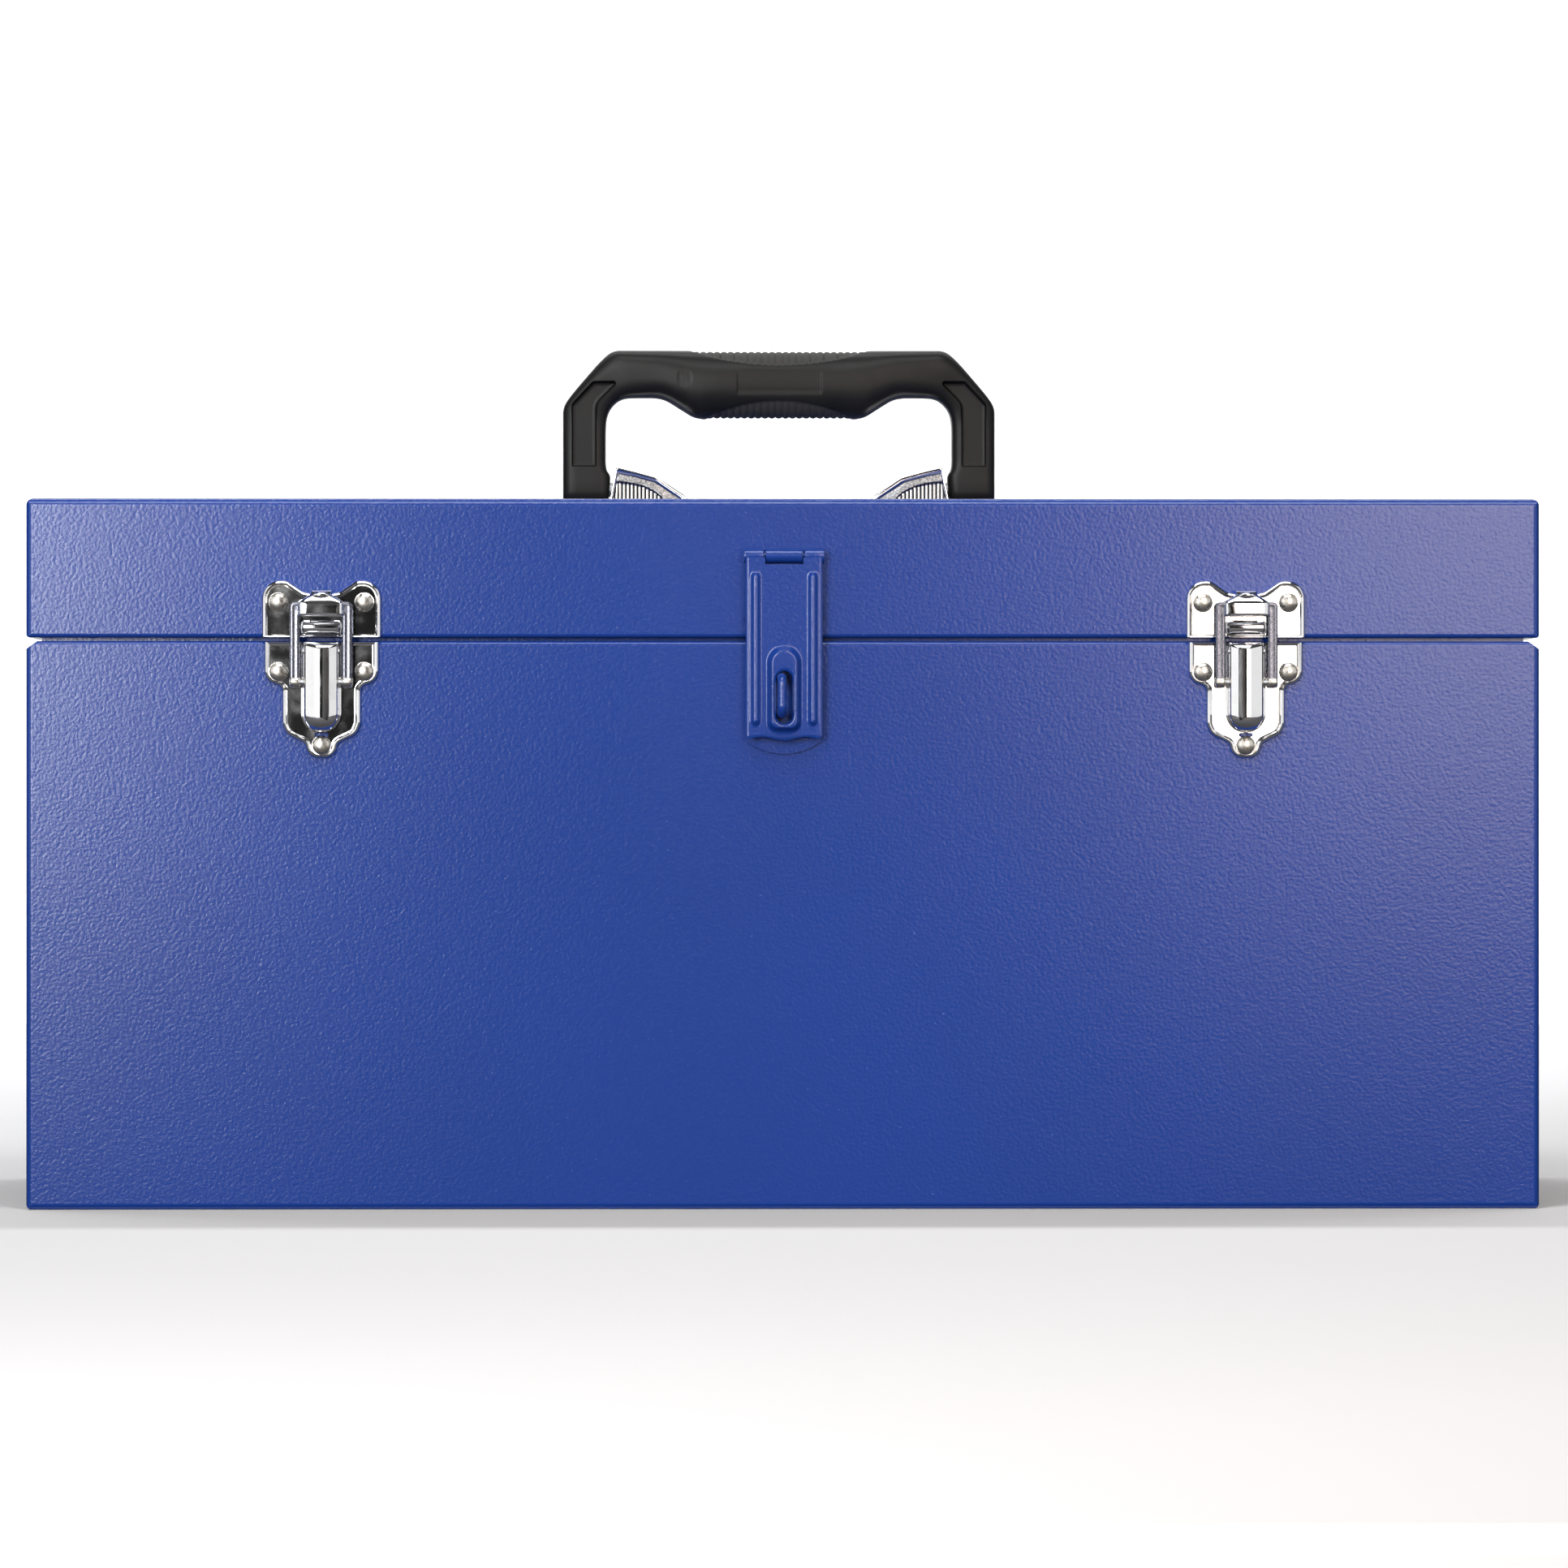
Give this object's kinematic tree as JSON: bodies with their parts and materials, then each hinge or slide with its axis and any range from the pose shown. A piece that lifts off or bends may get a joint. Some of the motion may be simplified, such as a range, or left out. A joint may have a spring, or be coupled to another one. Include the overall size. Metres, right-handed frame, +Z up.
{
  "type": "portable tool box",
  "caption": "Portable sheet-steel tool box with a hinged flat lid, draw latches, a padlock hasp, a folding grip and a lift-out tray.",
  "frame": {"origin": "middle of the box's base, on the surface it stands on", "axes": "+X to the right along the box's length as seen from the front, -Y out of the front wall with its latches, +Z up"},
  "size_m": [0.508, 0.2373, 0.294],
  "materials": {
    "paint": "satin powder coat with a fine orange-peel grain",
    "chrome": "bright plated steel pressings",
    "steel": "plain zinc-grey steel",
    "grip": "moulded black plastic with a satin skin"
  },
  "bodies": {
    "box": {"body_shell": "paint", "left_end_panel": "paint", "right_end_panel": "paint", "left_tray_ledge": "paint", "right_tray_ledge": "paint", "hinge_body_leaf": "paint", "hinge_pin": "steel", "hinge_body_rivets": "paint", "staple_plate": "paint", "staple": "paint", "staple_plate_rivets": "paint", "left_latch_base": "chrome", "right_latch_base": "chrome", "latch_base_rivets": "chrome", "left_lever_pin": "steel", "right_lever_pin": "steel"},
    "lid": {"lid_shell": "paint", "lid_left_end": "paint", "lid_right_end": "paint", "hinge_lid_leaf": "paint", "hinge_lid_rivets": "paint", "hasp_leaf": "paint", "hasp_pin": "paint", "hasp_leaf_rivets": "paint", "left_strike": "chrome", "right_strike": "chrome", "strike_rivets": "chrome", "left_bracket": "chrome", "right_bracket": "chrome", "bracket_rivets": "steel", "backing_plate": "steel", "left_grip_pin": "steel", "right_grip_pin": "steel"},
    "handle": {"grip": "grip"},
    "hasp_strap": {"hasp_strap": "paint"},
    "left_lever": {"left_lever": "chrome", "left_link_pin": "steel"},
    "right_lever": {"right_lever": "chrome", "right_link_pin": "steel"},
    "left_link": {"left_link": "chrome"},
    "right_link": {"right_link": "chrome"},
    "tray": {"tray_pan": "paint", "tray_left_end": "paint", "tray_right_end": "paint", "tray_divider": "paint", "tray_handle": "steel", "tray_rivets": "steel"}
  },
  "joints": [
    {"name": "lid_open", "type": "hinge", "parent": "box", "child": "lid", "pos_m": [0, 0.111, 0.1912], "axis": [-1, 0, 0], "range_deg": [0, 105]},
    {"name": "hasp_swing", "type": "hinge", "parent": "lid", "child": "hasp_strap", "pos_m": [0, -0.1108, 0.2192], "axis": [-1, 0, 0], "range_deg": [0, 150]},
    {"name": "handle_fold", "type": "hinge", "parent": "lid", "child": "handle", "pos_m": [0, 0, 0.2455], "axis": [1, 0, 0], "range_deg": [-78, 78]},
    {"name": "left_lever_swing", "type": "hinge", "parent": "box", "child": "left_lever", "pos_m": [-0.155, -0.113, 0.1871], "axis": [-1, 0, 0], "range_deg": [0, 130]},
    {"name": "right_lever_swing", "type": "hinge", "parent": "box", "child": "right_lever", "pos_m": [0.155, -0.113, 0.1871], "axis": [-1, 0, 0], "range_deg": [0, 130]},
    {"name": "left_link_turn", "type": "hinge", "parent": "left_lever", "child": "left_link", "pos_m": [-0.155, -0.1128, 0.1768], "axis": [-1, 0, 0], "range_deg": [-145, 0]},
    {"name": "right_link_turn", "type": "hinge", "parent": "right_lever", "child": "right_link", "pos_m": [0.155, -0.1128, 0.1768], "axis": [-1, 0, 0], "range_deg": [-145, 0]},
    {"name": "tray_lift", "type": "slide", "parent": "box", "child": "tray", "axis": [0, 0, 1], "range_m": [0, 0.02]}
  ],
  "couplings": [
    {"joint": "left_link_turn", "follows": "left_lever_swing", "ratio": -1.1},
    {"joint": "right_link_turn", "follows": "right_lever_swing", "ratio": -1.1}
  ]
}
